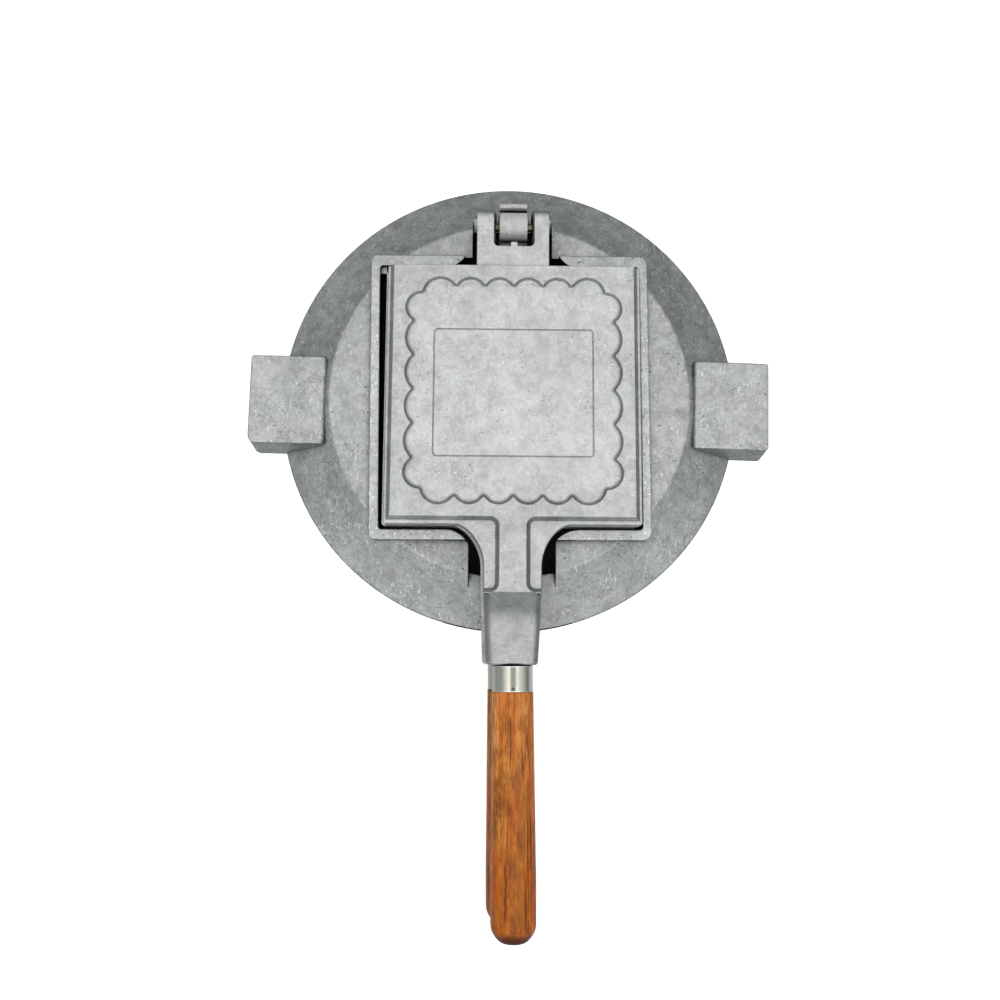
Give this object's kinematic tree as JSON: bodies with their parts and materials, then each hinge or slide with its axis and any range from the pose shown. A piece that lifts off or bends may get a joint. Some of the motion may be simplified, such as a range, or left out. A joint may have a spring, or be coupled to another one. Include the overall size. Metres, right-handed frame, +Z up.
{
  "type": "goro iron",
  "caption": "Square hinged two-plate wafer iron with paired wooden handles, lying in a round hollow stand with side lugs.",
  "frame": {"origin": "centre of the stand's round foot, on the surface that it stands on", "axes": "+Z up, +Y from the wooden handles towards the hinge, X across the two side lugs"},
  "size_m": [0.2825, 0.4012, 0.0496],
  "materials": {
    "stand_casting": "as-cast matte grey with fine pits and scratches",
    "iron_casting": "as-cast matte light grey with fine pits",
    "pin_steel": "plain turned steel",
    "handle_wood": "turned hardwood, orange-brown satin lacquer with dark grain",
    "ferrule_steel": "bright drawn steel tube"
  },
  "bodies": {
    "stand": {"base_stand": "stand_casting"},
    "lower_iron": {"lower_plate": "iron_casting", "hinge_pin": "pin_steel", "lower_handle_grip": "handle_wood", "lower_ferrule": "ferrule_steel", "lower_handle_stud": "pin_steel", "lower_ferrule_brad": "pin_steel"},
    "upper_iron": {"upper_plate": "iron_casting", "upper_handle_grip": "handle_wood", "upper_ferrule": "ferrule_steel", "upper_handle_stud": "pin_steel", "upper_ferrule_brad": "pin_steel"}
  },
  "joints": [
    {"name": "iron_lift", "type": "slide", "parent": "stand", "child": "lower_iron", "axis": [0, 0, 1], "range_m": [0, 0.08]},
    {"name": "plate_hinge", "type": "hinge", "parent": "lower_iron", "child": "upper_iron", "pos_m": [0.0016, 0.093, 0.0252], "axis": [-1, 0, 0], "range_deg": [0, 145]}
  ]
}
